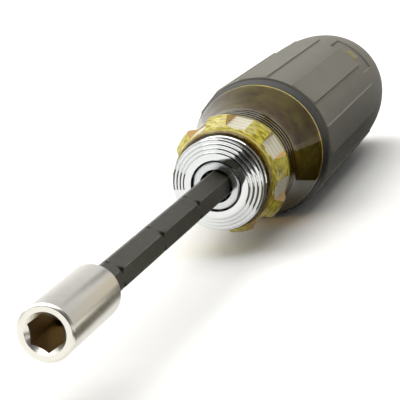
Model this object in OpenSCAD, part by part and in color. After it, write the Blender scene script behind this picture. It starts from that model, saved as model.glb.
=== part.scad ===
// Screwdriver with a nut socket on a notched hex blade. A sprung collar holds three balls in a
// notch, and pulling it towards the tip frees the blade, which then slides or comes out.
// Every piece is drawn round the tool axis: z is the station along the tool from the mouth of the
// socket, and angles are counted from the top of the tool. lay_down() then turns it on its side.

/* [Blade] */
// Width of the hex blade across its flats
blade_af = 6.35; // [5.5:0.05:7]
// Length of the hex blade
blade_len = 138.5; // [125:0.5:145]
// Distance between two notches
notch_pitch = 25.4; // [22:0.1:26]
// Depth of a notch below the corners of the hex
notch_depth = 0.42; // [0.3:0.02:0.6]
// Chamfer on the tail of the blade
blade_chamfer = 0.8; // [0.3:0.1:1.5]

/* [Nut socket] */
// Outer diameter of the socket
socket_d = 11.1; // [10:0.1:13]
// Length of the socket
socket_len = 25.1; // [22:0.1:30]
// Depth of the hex recess in front of the magnet
nut_depth = 13; // [9:0.5:16]
// Diameter of the round lead-in at the mouth
mouth_d = 8.1; // [7.6:0.1:9]
// Width of the chamfer round the front and rear rims
socket_chamfer = 0.45; // [0.2:0.05:1]
// Diameter of the magnet
magnet_d = 5.6; // [4:0.1:6]
// Length of the magnet
magnet_len = 2.5; // [1.5:0.1:4]

/* [Chuck] */
// Length of blade and socket that stands out of the collar
reach = 106.9; // [100:0.1:112]
// Diameter of a locking ball
ball_d = 3.2; // [2.8:0.1:3.4]
// Number of locking balls
ball_count = 3; // [3]
// Distance of the balls behind the front of the chuck
ball_setback = 2.5; // [2.3:0.1:3.5]
// Wall of the chuck body round its bore
chuck_wall = 1.2; // [1:0.05:1.6]
// Height of the rounded ring at the mouth of the chuck
mouth_ring = 0.5; // [0.3:0.05:0.6]
// Length of the chuck body in front of its anchor
chuck_nose = 15.1; // [14:0.1:17]
// Length of the ribbed anchor that is moulded into the handle
anchor_len = 16; // [10:1:24]
// Diameter of the anchor between its ribs
anchor_d = 13.2; // [12:0.1:15]
// Height of the anchor's ribs
anchor_rib = 1.2; // [0.6:0.1:2]

/* [Release collar] */
// Travel of the collar towards the tip
collar_travel = 2.4; // [2:0.1:2.8]
// Diameter of the collar's chrome cap
cap_d = 22; // [20.6:0.1:24]
// Length of the cap from its front face to its rear lip
cap_len = 5.3; // [4.8:0.1:6.5]
// Thickness of the cap's front wall
cap_wall = 1; // [0.7:0.1:1.4]
// Number of steps on the front of the cap
cap_steps = 4; // [2:1:6]
// Rise of one step
cap_rise = 0.45; // [0.2:0.05:0.6]
// Width of one step
cap_tread = 0.92; // [0.4:0.02:0.96]
// Width of the plain rim round the steps
cap_rim = 0.25; // [0.1:0.05:0.6]
// Length of the lip round the rear edge of the cap, and of the slope up to it
cap_lip = 0.3; // [0.1:0.05:0.4]
// Narrowing of the collar's side towards its rear lip
cap_taper = 0.4; // [0:0.05:0.5]
// Wall of the cam sleeve round its spring chamber
sleeve_wall = 0.9; // [0.7:0.05:1.2]
// Wire of the return spring
wire_d = 0.6; // [0.4:0.05:0.7]
// Turns of the return spring
spring_turns = 3.5; // [2.5:0.5:4]
// Thickness of the retaining ring
ring_t = 0.8; // [0.5:0.05:1]
// Thickness of the spring washer
washer_t = 0.6; // [0.4:0.05:0.9]
// Thickness of the keeper that closes the sleeve
keeper_t = 1.4; // [1:0.1:2]

/* [Handle] */
// Length of the handle
handle_len = 123.8; // [118:0.2:140]
// Diameter of the handle's front edge
nose_d = 24; // [23:0.1:26]
// Length of the plain nose in front of the fluted ring
nose_len = 1.9; // [1:0.1:4]
// Length of the fluted ring
flute_len = 10.4; // [8:0.1:14]
// Largest diameter of the fluted ring
flute_d = 28.5; // [27:0.1:30]
// Number of flutes
flute_count = 8; // [6:1:12]
// Width of a flute's floor
flute_w = 4.6; // [4:0.1:6]
// Lean of the walls of a flute
flute_lean = 30; // [0:1:40]
// Rise of a flute's floor from its front to its rear
flute_rise = 0.4; // [0:0.05:0.6]
// Turn of the flutes against the panels of the grip
flute_turn = 18.5; // [0:0.5:45]
// Diameter of the ringed neck
neck_d = 26.1; // [25:0.1:27]
// Length of plain neck in front of its first groove
neck_lead = 2.25; // [1:0.05:4]
// Number of grooves round the neck
neck_grooves = 4; // [2:1:6]
// Distance between two grooves of the neck
neck_pitch = 1.07; // [0.8:0.01:1.3]
// Length of the flared cone behind the neck
cone_len = 12.8; // [10:0.1:18]
// Diameter of the rim at the wide end of the cone
rim_d = 33; // [31:0.1:33.4]

/* [Grip] */
// Diameter of the lip at the front of the grip, where it ends
lip_d = 34.5; // [34:0.1:35]
// Length of the lip
lip_len = 3; // [1.6:0.1:3.5]
// Width of the groove behind the lip
groove_w = 1.2; // [0.8:0.1:2]
// Depth of the groove behind the lip
groove_depth = 0.85; // [0.3:0.05:1]
// Diameter of the grip between its panels, at the front
grip_front_d = 35.1; // [34.8:0.1:36]
// Diameter of the grip between its panels, where its rounded end begins
grip_rear_d = 34.5; // [33.5:0.1:35]
// Thickness of the rubber
grip_wall = 2.3; // [1.8:0.1:3]
// Length of the rounded end
dome_len = 35; // [28:0.5:40]
// Diameter of the flat at the butt
butt_d = 12.4; // [8:0.1:18]
// Number of raised panels
panel_count = 8; // [6:2:10]
// Width of a raised panel
panel_w = 7.4; // [5:0.1:8]
// Length of a raised panel
panel_len = 57.5; // [45:0.1:62]
// Drop of a panel's face from its front to its rear end
panel_drop = 0.35; // [0:0.05:0.5]
// How much shorter the two name panels are
name_short = 3.4; // [2:0.1:6]
// Length of the shallow recess behind a name panel
recess_len = 9.8; // [8:0.1:12]
// Angle that the recess spans
recess_span = 40; // [34:1:44]
// Length of the amber window in the recess
window_len = 5; // [3:0.1:6]
// Width of the amber window
window_w = 3.4; // [2:0.1:5]

/* [Fits] */
// Gap round a piece that is pressed or moulded in place
seat_gap = 0.02; // [0.01:0.01:0.04]
// Radial gap of a running fit
run_gap = 0.05; // [0.03:0.01:0.08]
// Gap on each side of the hex in its socket and its drive bore
hex_gap = 0.05; // [0.03:0.01:0.08]
// Gap between neighbours that move past each other without touching
clear_gap = 0.3; // [0.25:0.05:0.4]

/* [Hidden] */
$fn = 96;
// Steps in one curved stretch of a turned outline
arc_steps = 16;
// Length that a cut reaches past the face it opens
past = 1;

// Hex blade, its notches and the balls
corner_r = blade_af / 2 / cos(30);
blade_front = nut_depth + magnet_len;
blade_end = blade_front + blade_len;
ball_r = ball_d / 2;
ball_at = reach + ball_setback;
ball_play = 0.1;
notch_play = 0.2;
ball_centre = corner_r - notch_depth + ball_play + ball_r;
ball_top = ball_centre + ball_r;
notch_r = ball_r + notch_play;
notch_margin = 4;
notches_ahead = floor((ball_at - socket_len - notch_margin) / notch_pitch);
notches_behind = floor((blade_end - notch_margin - ball_at) / notch_pitch);

// Chuck body, from its nose to its anchor
bore_play = 0.33;
bore_r = corner_r + bore_play;
chuck_r = bore_r + chuck_wall;
drive_at = ball_at + ball_r + 1;
anchor_at = reach + chuck_nose;
anchor_end = anchor_at + anchor_len;
anchor_ribs = 8;
rib_w = 2;
rib_root = 1;
mouth_len = max(mouth_ring + 0.1, ball_setback - ball_r - 2 * run_gap);

// Cam that frees the balls: a land, a cone that rises with the balls, and the spring chamber
cam_gap = 0.07;
lift_spare = 0.33;
ball_lift = notch_depth + lift_spare;
cam_slope = ball_lift / collar_travel;
cone_ease = (sqrt(1 + cam_slope * cam_slope) - 1) * ball_r;
land_r = ball_top + cam_gap;
chamber_r = ball_top + ball_lift + clear_gap;
land_end = ball_at - cone_ease / cam_slope;
cam_end = land_end + (chamber_r - land_r) / cam_slope;
sleeve_r = chamber_r + sleeve_wall;
sleeve_front = reach + cap_wall;

// Stack behind the cam: ring, washer, spring and keeper
ring_groove = 0.5;
ring_at = cam_end + clear_gap;
washer_at = ring_at + ring_t;
spring_at = washer_at + washer_t;
sleeve_end = anchor_at - 1;
keeper_at = sleeve_end - keeper_t;
spring_r = (chuck_r + chamber_r) / 2;
stack_r = chamber_r - clear_gap;

// Cap of the collar
cap_r = cap_d / 2;
cap_hole_r = chuck_r + mouth_ring + clear_gap;
cap_end = reach + cap_len;

// Stations along the handle
handle_front = cap_end + 0.1;
handle_end = handle_front + handle_len;
flute_at = handle_front + nose_len;
neck_at = flute_at + flute_len;
neck_len = neck_lead + neck_pitch * neck_grooves;
cone_at = neck_at + neck_len;
rim_at = cone_at + cone_len;
rim_w = 0.5;
grip_at = rim_at + rim_w;
lip_end = grip_at + lip_len;
panel_at = lip_end + groove_w;
dome_at = handle_end - dome_len;
nose_r = nose_d / 2;
neck_r = neck_d / 2;
rim_r = rim_d / 2;
flute_floor = nose_r + 0.2;
groove_cut = 0.3;
groove_cut_w = 0.45;

// Grip and the core under it
lip_r = lip_d / 2;
grip_front_r = grip_front_d / 2;
grip_rear_r = grip_rear_d / 2;
butt_r = butt_d / 2;
seat_r = grip_rear_r - grip_wall;
core_end = handle_end - grip_wall;
dome_power = 2.6;
panel_end = panel_at + panel_len;
panel_rise = 0.1;
name_end = panel_end - name_short;
recess_depth = 0.6;
recess_floor = grip_rear_r - recess_depth;
recess_end = name_end + recess_len;
window_at = name_end + (recess_len - window_len) / 2;
rest_h = grip_front_r + panel_rise;

// Bore that the tail of the blade slides into
tail_wall = 2;
notches_in = min(notches_ahead, floor((core_end - tail_wall - blade_end) / notch_pitch));
tail_room = 0.8;
tail_end = blade_end + notches_in * notch_pitch + tail_room;

echo(overall_length = handle_end, blade_end = blade_end, slide_in = notches_in * notch_pitch);
echo(ball_at = ball_at, ball_centre = ball_centre, ball_lift = ball_lift, rest_height = rest_h);
echo(spring_gap = spring_self_gap(), spring_from = spring_at, spring_to = keeper_at);

// Lays the tool on its side, with its tip towards -X and a panel of its grip on the ground
module lay_down() {
    translate([-handle_end / 2, 0, rest_h])
        rotate([0, 90, 0])
            rotate([0, 0, 180])
                children();
}

// Ring between two radii, from one station to the next
module tube(r_in, r_out, from, to) {
    translate([0, 0, from])
        difference() {
            cylinder(r = r_out, h = to - from);
            translate([0, 0, -past])
                cylinder(r = r_in, h = to - from + 2 * past);
        }
}

// Hex bar of the blade's section, grown by a gap on each flat, with corners at the top and bottom
module hex_bar(gap, from, to) {
    translate([0, 0, from])
        cylinder(r = corner_r + gap / cos(30), h = to - from, $fn = 6);
}

// Turned solid of an outline given as [radius, station] points, closed along the axis
module turned(outline) {
    rotate_extrude()
        polygon(concat([[0, outline[0][1]]], outline, [[0, outline[len(outline) - 1][1]]]));
}

// Radius of the rounded end at a share of its length, from full radius to its flat
function dome_radius(full, flat, share) =
    flat + (full - flat) * pow(1 - pow(share, dome_power), 1 / dome_power);

// Points of a rounded end between two stations
function dome(full, flat, from, to) = [
    for (i = [0 : arc_steps])
        let (share = sin(90 * i / arc_steps))
        [dome_radius(full, flat, share), from + (to - from) * share]
];

// Crowned outline of the fluted ring
function crown() = [
    for (i = [0 : arc_steps])
        let (share = i / arc_steps, base = nose_r + 0.05 + (neck_r - nose_r - 0.1) * share)
        [base + (flute_d / 2 - base) * pow(sin(180 * share), 1.6), flute_at + flute_len * share]
];

// Gently hollow flare from the neck to the rim
function flare() = [
    for (i = [0 : arc_steps])
        let (share = i / arc_steps)
        [neck_r + (rim_r - neck_r) * pow(share, 1.25), cone_at + cone_len * share]
];

// Hex blade with a ring of corner nicks at every notch
module hex_blade() {
    color("#454644")
        lay_down()
            difference() {
                intersection() {
                    hex_bar(0, blade_front, blade_end);
                    turned([[corner_r + past, blade_front], [corner_r + past, blade_end - blade_chamfer],
                        [corner_r - blade_chamfer, blade_end]]);
                }
                for (k = [-notches_behind : notches_ahead])
                    rotate_extrude()
                        translate([corner_r - notch_depth + notch_r, ball_at - k * notch_pitch])
                            circle(r = notch_r);
            }
}

// Turned socket, broached right through for the nut in front and the blade behind
module nut_socket() {
    socket_r = socket_d / 2;
    color("#b9b4a6")
        lay_down()
            difference() {
                turned([[socket_r - socket_chamfer, 0], [socket_r, socket_chamfer],
                    [socket_r, socket_len - socket_chamfer], [socket_r - socket_chamfer, socket_len]]);
                hex_bar(hex_gap, -past, socket_len + past);
                lead_in = mouth_d / 2 - blade_af / 2;
                translate([0, 0, -0.01])
                    cylinder(r1 = mouth_d / 2, r2 = blade_af / 2, h = lead_in);
            }
}

// Round magnet against the front of the blade
module socket_magnet() {
    color("#8b8378")
        lay_down()
            translate([0, 0, nut_depth])
                cylinder(d = magnet_d, h = magnet_len);
}

// Cylinder and ribs that hold the chuck in the moulded handle
module anchor(gap) {
    translate([0, 0, anchor_at - gap])
        cylinder(r = anchor_d / 2 + gap, h = anchor_len + 2 * gap);
    for (i = [0 : anchor_ribs - 1])
        rotate([0, 0, i * 360 / anchor_ribs])
            translate([anchor_d / 2 - rib_root, -rib_w / 2 - gap, anchor_at - gap])
                cube([rib_root + anchor_rib + gap, rib_w + 2 * gap, anchor_len + 2 * gap]);
}

// Steel body with a round mouth, a hex drive bore, ball holes and the groove of its ring
module chuck_body() {
    color("#c9cbcd")
        lay_down()
            difference() {
                union() {
                    translate([0, 0, reach])
                        cylinder(r = chuck_r, h = chuck_nose + past);
                    turned(concat([
                        for (i = [0 : 6])
                            [chuck_r + mouth_ring * sin(15 * i), reach + mouth_ring * (1 - cos(15 * i))]
                    ], [[chuck_r + mouth_ring, reach + mouth_len]]));
                    anchor(0);
                }
                translate([0, 0, reach - past])
                    cylinder(r = bore_r, h = drive_at - reach + past);
                hex_bar(hex_gap, drive_at - past, anchor_end + past);
                for (i = [0 : ball_count - 1])
                    at_ball(i)
                        cylinder(r = ball_r + run_gap, h = 2 * chuck_r);
                tube(chuck_r - ring_groove, chuck_r + past, ring_at, ring_at + ring_t);
            }
}

// Turns the z axis out through a ball's hole, with its origin on the tool axis
module at_ball(i) {
    rotate([0, 0, 60 + i * 360 / ball_count])
        translate([0, 0, ball_at])
            rotate([0, 90, 0])
                children();
}

// Open spring ring in the groove of the chuck body
module retaining_ring() {
    opening = 3;
    color("#3c3d3f")
        lay_down()
            difference() {
                tube(chuck_r - ring_groove + seat_gap, stack_r, ring_at + seat_gap, ring_at + ring_t);
                translate([0, -opening / 2, ring_at - past])
                    cube([stack_r + past, opening, ring_t + 2 * past]);
            }
}

// Flat washer that the spring pushes against
module spring_washer() {
    color("#9a9c9e")
        lay_down()
            tube(chuck_r + run_gap, stack_r, washer_at, spring_at - seat_gap);
}

// Middle of the spring's wire at a share of its length
function spring_point(share) =
    let (turn = 360 * spring_turns * share, rise = keeper_at - spring_at - wire_d - 2 * seat_gap)
    [spring_r * cos(turn), spring_r * sin(turn), spring_at + seat_gap + wire_d / 2 + rise * share];

// Gap between two neighbouring turns, measured on points a whole turn apart
function spring_self_gap() = min([
    for (i = [0 : 20])
        let (share = (1 - 1 / spring_turns) * i / 20)
        norm(spring_point(share + 1 / spring_turns) - spring_point(share)) - wire_d
]);

// Helical return spring, swept as one tube of six sides
module collar_spring() {
    sides = 6;
    rings = round(8 * spring_turns);
    wire_points = [
        for (i = [0 : rings])
            let (share = i / rings, turn = 360 * spring_turns * share, middle = spring_point(share))
            for (k = [0 : sides - 1])
                let (out = wire_d / 2 * cos(360 * k / sides), up = wire_d / 2 * sin(360 * k / sides))
                middle + [out * cos(turn), out * sin(turn), up]
    ];
    side_faces = [
        for (i = [0 : rings - 1])
            for (k = [0 : sides - 1])
                let (a = i * sides + k, b = i * sides + (k + 1) % sides)
                each [[a, a + sides, b], [b, a + sides, b + sides]]
    ];
    first_end = [for (k = [1 : sides - 2]) [0, k, k + 1]];
    last_end = [for (k = [1 : sides - 2]) [rings * sides, rings * sides + k + 1, rings * sides + k]];
    color("#b7babd")
        lay_down()
            polyhedron(points = wire_points, faces = concat(side_faces, first_end, last_end));
}

// Locking ball in its hole, seated in a notch of the blade
module detent_ball(i) {
    color("#d4d6d8")
        lay_down()
            at_ball(i)
                translate([0, 0, ball_centre])
                    sphere(r = ball_r);
}

// Sleeve that presses the balls in with its land and lets them out along its cone
module cam_sleeve() {
    color("#a8abad")
        lay_down()
            difference() {
                translate([0, 0, sleeve_front])
                    cylinder(r = sleeve_r, h = sleeve_end - sleeve_front);
                turned([[land_r, sleeve_front - past], [land_r, land_end], [chamber_r, cam_end],
                    [chamber_r, sleeve_end + past]]);
            }
}

// Ring pressed into the rear of the sleeve, which the spring pushes back
module spring_keeper() {
    color("#8f9294")
        lay_down()
            tube(chuck_r + run_gap, chamber_r - seat_gap, keeper_at, sleeve_end);
}

// Chrome cap with a stepped front, pressed over the front of the sleeve
module collar_cap() {
    steps = [
        for (i = [0 : cap_steps - 1])
            let (r = cap_r - cap_rim - (cap_steps - 1 - i) * cap_tread, z = reach + i * cap_rise)
            each [[r, z], [r, z + cap_rise]]
    ];
    color("#dfe1e3")
        lay_down()
            difference() {
                turned(concat(steps, [[cap_r, reach + cap_steps * cap_rise],
                    [cap_r - cap_taper, cap_end - 2 * cap_lip], [cap_r, cap_end - cap_lip],
                    [cap_r, cap_end]]));
                translate([0, 0, reach - past])
                    cylinder(r = cap_hole_r, h = cap_wall + 2 * past);
                translate([0, 0, sleeve_front])
                    cylinder(r = sleeve_r + seat_gap, h = cap_len);
            }
}

// Outside of the moulded core, from its nose to its rounded end under the grip
module core_outside(gap) {
    turned(concat([[nose_r - 0.6, handle_front], [nose_r, handle_front + 0.6]], crown(),
        [[neck_r, neck_at]], flare(), [[rim_r, grip_at - gap], [seat_r + gap, grip_at - gap]],
        dome(seat_r + gap, butt_r - grip_wall, dome_at, core_end + gap)));
}

// Amber block that fills one window of the grip
module window_block(gap) {
    for (side = [0, 180])
        rotate([0, 0, 45 + side])
            translate([seat_r - past, -window_w / 2 - gap, window_at - gap])
                cube([recess_floor - seat_r + past + gap, window_w + 2 * gap, window_len + 2 * gap]);
}

// Section of a flute, from its floor to outside the crown of the ring
module flute_section() {
    deep = flute_d / 2 - flute_floor + 1;
    half = flute_w / 2;
    open = half + deep * tan(flute_lean);
    polygon([[0, -half], [0, half], [deep, open], [deep, -open]]);
}

// Transparent amber core with its fluted ring, ringed neck and flared cone
module handle_core() {
    color("#c08a1e", 0.6)
        lay_down()
            difference() {
                union() {
                    core_outside(0);
                    window_block(0);
                }
                for (i = [0 : flute_count - 1])
                    rotate([0, 0, flute_turn + i * 360 / flute_count])
                        translate([flute_floor, 0, flute_at])
                            rotate([0, atan(flute_rise / flute_len), 0])
                                linear_extrude(height = flute_len)
                                    flute_section();
                for (i = [0 : neck_grooves - 1])
                    translate([0, 0, neck_at + neck_lead + i * neck_pitch])
                        tube(neck_r - groove_cut, flute_d, -groove_cut_w / 2, groove_cut_w / 2);
                translate([0, 0, handle_front - past])
                    cylinder(r = sleeve_r + clear_gap, h = anchor_at - handle_front + past);
                anchor(seat_gap);
                translate([0, 0, anchor_end - past])
                    cylinder(r = bore_r, h = tail_end - anchor_end + past);
            }
}

// Flat-faced bar of one raised panel, leaning in by its drop
module panel_bar(length) {
    translate([grip_front_r + panel_rise, -panel_w / 2, panel_at])
        rotate([0, -atan(panel_drop / panel_len), 0])
            translate([-grip_wall, 0, 0])
                cube([grip_wall, panel_w, length]);
}

// Rubber grip: a lipped, domed sleeve with flat raised panels and two windows
module cushion_grip() {
    lip_step = 0.1;
    lip_front = [
        for (i = [0 : 6])
            let (share = i / 6, rise = lip_r - rim_r - lip_step)
            [lip_r - rise * pow(1 - share, 1.5), grip_at + lip_len * share]
    ];
    groove_r = grip_front_r - groove_depth;
    color("#5f5d56")
        lay_down()
            difference() {
                union() {
                    turned(concat(lip_front, [[groove_r, lip_end],
                        [groove_r, panel_at - 0.2], [grip_front_r, panel_at]],
                        dome(grip_rear_r, butt_r, dome_at, handle_end)));
                    for (i = [0 : panel_count - 1])
                        rotate([0, 0, i * 360 / panel_count])
                            panel_bar(i % (panel_count / 2) == 1 ? panel_len - name_short : panel_len);
                }
                for (side = [0, 180])
                    rotate([0, 0, 45 + side - recess_span / 2])
                        rotate_extrude(angle = recess_span)
                            translate([recess_floor, name_end])
                                square([grip_wall, recess_len]);
                core_outside(seat_gap);
                window_block(seat_gap);
            }
}

hex_blade();
nut_socket();
socket_magnet();
chuck_body();
retaining_ring();
spring_washer();
collar_spring();
detent_ball(0);  // detent_ball_1
detent_ball(1);  // detent_ball_2
detent_ball(2);  // detent_ball_3
cam_sleeve();
spring_keeper();
collar_cap();
handle_core();
cushion_grip();
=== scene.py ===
# %% [markdown]
# # A hand driver with a sliding blade, dressed for a studio picture
# The construction arrives as solids: a socket on a notched hex blade, a sprung chrome collar, and an amber
# handle under a rubber grip. This lesson gives each piece its finish. Solids that are already right only
# get a material. The others are modelled again in the same place, with the small rounds and smooth curves
# that polished metal, clear plastic and moulded rubber show.

# %% Load the solids
from functools import partial
from math import asin, atan2, cos, degrees, hypot, pi, radians, sin, sqrt, tan
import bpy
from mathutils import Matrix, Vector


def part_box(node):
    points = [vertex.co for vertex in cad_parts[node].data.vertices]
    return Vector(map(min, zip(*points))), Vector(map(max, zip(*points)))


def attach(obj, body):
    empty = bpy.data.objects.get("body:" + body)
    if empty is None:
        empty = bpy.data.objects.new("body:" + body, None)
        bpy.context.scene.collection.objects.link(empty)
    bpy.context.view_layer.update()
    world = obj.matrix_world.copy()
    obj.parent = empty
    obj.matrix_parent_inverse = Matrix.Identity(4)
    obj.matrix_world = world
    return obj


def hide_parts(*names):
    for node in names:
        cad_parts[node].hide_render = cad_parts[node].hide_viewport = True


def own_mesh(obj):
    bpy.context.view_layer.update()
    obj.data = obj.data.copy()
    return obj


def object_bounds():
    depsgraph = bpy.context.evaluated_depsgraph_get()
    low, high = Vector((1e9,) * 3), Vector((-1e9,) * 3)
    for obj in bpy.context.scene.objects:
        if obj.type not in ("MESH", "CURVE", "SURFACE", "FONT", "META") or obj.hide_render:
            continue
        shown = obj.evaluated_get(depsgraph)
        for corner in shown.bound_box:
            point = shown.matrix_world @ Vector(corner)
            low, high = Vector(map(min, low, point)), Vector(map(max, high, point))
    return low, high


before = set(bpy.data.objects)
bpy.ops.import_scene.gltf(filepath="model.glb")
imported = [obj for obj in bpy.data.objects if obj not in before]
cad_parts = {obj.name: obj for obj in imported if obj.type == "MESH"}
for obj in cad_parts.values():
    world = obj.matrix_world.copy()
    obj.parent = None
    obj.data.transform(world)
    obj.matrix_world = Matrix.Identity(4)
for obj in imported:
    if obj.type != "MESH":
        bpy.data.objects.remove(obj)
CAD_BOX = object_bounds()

from types import SimpleNamespace as Sizes

import bmesh
import bpy
from mathutils import Euler, Vector

MM = 0.001
TAU = 2 * pi
TIP_X = CAD_BOX[0].x
SOCKET_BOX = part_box("nut_socket")
AXIS_Z = (SOCKET_BOX[0].z + SOCKET_BOX[1].z) / 2
scene = bpy.context.scene
print("solids:", len(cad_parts), "axis height in mm:", round(AXIS_Z / MM, 2))

# %% [markdown]
# ## Where things are
# The tool is round about one axis, so a place on it is a station along the axis from the mouth of the
# socket, a radius, and an angle counted from the top. Sizes are written in millimetres as a maker would
# measure them, and one function turns them into metres in the frame of the solids.

# %% Stations and radii of the tool, in millimetres
BLADE = Sizes(front=15.5, end=154.0, flats=6.35, edge=0.22, chamfer=0.8)
NOTCH = Sizes(at=109.4, pitch=25.4, ahead=3, behind=1, depth=0.48, radius=1.8)
SOCKET = Sizes(end=25.1, radius=5.55, mouth=4.05, flats=6.45, chamfer=0.45)
CAP = Sizes(
    front=106.9, end=112.2, hole=5.996, radius=11.0, lip=0.3, steps=4, tread=0.92, rim=0.25, rise=0.45,
    wall=1.0, inside=8.53, taper=0.4)
CORE = Sizes(
    front=112.3, nose=12.0, chamfer=0.6, flute=114.2, crown=14.25, neck=124.6, neck_radius=13.05,
    cone=131.13, rim=143.93, rim_radius=16.5, pocket=8.83, pocket_end=122.02, seat=6.6, seat_end=138.0,
    bore=4.0, bore_end=231.0)
FLUTE = Sizes(count=8, width=4.6, floor=12.2, rise=0.4, turn=18.5, lean=tan(radians(30)))
GROOVE = Sizes(first=125.05, pitch=1.75, count=4, depth=0.3, width=0.7, slope=0.1)
GRIP = Sizes(
    front=144.43, lip_end=147.43, panel=148.63, dome=201.1, end=236.1, inside=14.97, lip=17.25, groove=16.7,
    front_radius=17.55, rear_radius=17.25, butt=6.2, wall=2.3)
PANEL = Sizes(count=8, width=7.4, end=206.13, short_end=202.73, rise=0.1, drop=0.35)
RECESS = Sizes(end=212.53, floor=16.65, half_span=20.0, every=4, first=1)
WINDOW = Sizes(at=205.13, length=5.0, width=3.4, height=1.6, sunk=0.72, edge=0.3)


def in_frame(station, across, up, lift=AXIS_Z):
    """A point in metres, from its station and its two distances from the axis."""
    return Vector((TIP_X + station * MM, across * MM, lift + up * MM))


def round_point(station, radius, angle, lift=AXIS_Z):
    """The same for a radius and an angle from the top, which grows towards -Y."""
    return in_frame(station, -radius * sin(angle), radius * cos(angle), lift)


# %% [markdown]
# ## The camera
# A long lens looks at the tool from in front, a little above and to one side, with a slight roll. Its place
# was worked out from the ellipses of the round edges, which give both the direction and the distance.

# %% Camera
CAMERA_PLACE = Vector((-396.07, -126.11, 104.32)) * MM
PITCH, HEADING, ROLL = 12.433, 18.717, 8.334  # in degrees
FOCAL_PIXELS = 1804.1
PICTURE_SIDE = 400
SENSOR = 36.0

camera_data = bpy.data.cameras.new("studio_camera")
camera_data.sensor_width = SENSOR
camera_data.lens = FOCAL_PIXELS / PICTURE_SIDE * SENSOR
camera_data.clip_start = 0.01
camera = bpy.data.objects.new("studio_camera", camera_data)
scene.collection.objects.link(camera)
turn = Euler((radians(90 - PITCH), 0, radians(HEADING - 90))).to_matrix()
roll = Euler((0, 0, radians(-ROLL))).to_matrix()
camera.matrix_world = (turn @ roll).to_4x4()
camera.location = CAMERA_PLACE
scene.camera = camera
print("lens in mm:", round(camera_data.lens, 1))

# %% [markdown]
# ## Helpers for materials
# Colours are written as sRGB hex, as a paint chart gives them, and one function turns them linear. One
# function adds a node with its settings and links: a node that is given as an input is linked by its first
# output in use, and a kind is of the tree's own family unless it names another. A pattern's scale comes
# from its real size in millimetres.


# %% Colour, node and material helpers
def hex_colour(code):
    """Linear RGBA of an sRGB hex colour."""
    parts = [int(code[i : i + 2], 16) / 255 for i in (1, 3, 5)]
    return tuple(p / 12.92 if p <= 0.04045 else ((p + 0.055) / 1.055) ** 2.4 for p in parts) + (1.0,)


def add_node(tree, kind, inputs=None, **settings):
    """A new node with its settings, and with its inputs linked to a node or a socket, or set."""
    node = tree.nodes.new(kind if "Node" in kind else tree.bl_idname[:-4] + kind)
    for name, value in settings.items():
        setattr(node, name, value)
    for key, value in (inputs or {}).items():
        if isinstance(value, bpy.types.Node):
            value = next(socket for socket in value.outputs if socket.enabled)
        if isinstance(value, bpy.types.NodeSocket):
            tree.links.new(value, node.inputs[key])
        else:
            node.inputs[key].default_value = hex_colour(value) if isinstance(value, str) else value
    return node


def per_size(millimetres):
    """Texture scale whose features have this size."""
    return 1 / (millimetres * MM)


def new_material(name):
    """An empty material, its function for adding nodes, and the place its patterns start from."""
    material = bpy.data.materials.new(name)
    material.use_nodes = True
    material.node_tree.nodes.clear()
    add = partial(add_node, material.node_tree)
    return material, add, add("TexCoord").outputs["Object"]


MIX_FACTOR, MIX_A, MIX_B = 0, 6, 7  # inputs of a mix node whose data are colours
WAVE_LENGTH = TAU / 20  # distance between the bands of a wave texture of scale 1

# %% [markdown]
# ## Mirror chrome and satin nickel
# The collar is polished steel with decorative chrome: nearly a mirror, with only the faintest haze from
# buffing. The socket is nickel plated over a turned surface, so it is warmer and blurs what it reflects,
# and the lathe has left fine rings round it. Both are metals, so they keep the default IOR.


# %% Chrome and nickel
def mirror_chrome():
    """Decorative chrome: bluish white, sharp reflections, a trace of polishing haze."""
    material, add, place = new_material("mirror_chrome")
    haze = add("TexNoise", {"Vector": place, "Scale": per_size(1.5), "Detail": 3.0})
    rough = add("MapRange", {"Value": haze, "To Min": 0.03, "To Max": 0.075})
    shader = add("BsdfPrincipled", {"Base Color": "#d9dbdb", "Metallic": 1.0, "Roughness": rough})
    add("OutputMaterial", {"Surface": shader})
    return material


def satin_nickel():
    """Nickel plate on turned steel: warm and blurred, with lathe rings drawn twice as wide to show."""
    ring_pitch = 0.3
    material, add, place = new_material("satin_nickel")
    rings = add("TexWave", {
        "Vector": place, "Scale": per_size(ring_pitch) * WAVE_LENGTH, "Distortion": 1.5, "Detail": 2.0})
    cloud = add("TexNoise", {"Vector": place, "Scale": per_size(2.5), "Detail": 4.0})
    tint = add("Mix", {MIX_FACTOR: cloud, MIX_A: "#dbd7cd", MIX_B: "#e7e4dd"}, data_type="RGBA")
    rough = add("MapRange", {"Value": cloud, "To Min": 0.2, "To Max": 0.3})
    bump = add("Bump", {"Height": rings.outputs["Fac"], "Strength": 0.12, "Distance": 0.02 * MM})
    shader = add("BsdfPrincipled", {
        "Base Color": tint, "Metallic": 1.0, "Roughness": rough, "Normal": bump})
    add("OutputMaterial", {"Surface": shader})
    return material


CHROME = mirror_chrome()
NICKEL = satin_nickel()
print("plated finishes:", CHROME.name, NICKEL.name)
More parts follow.
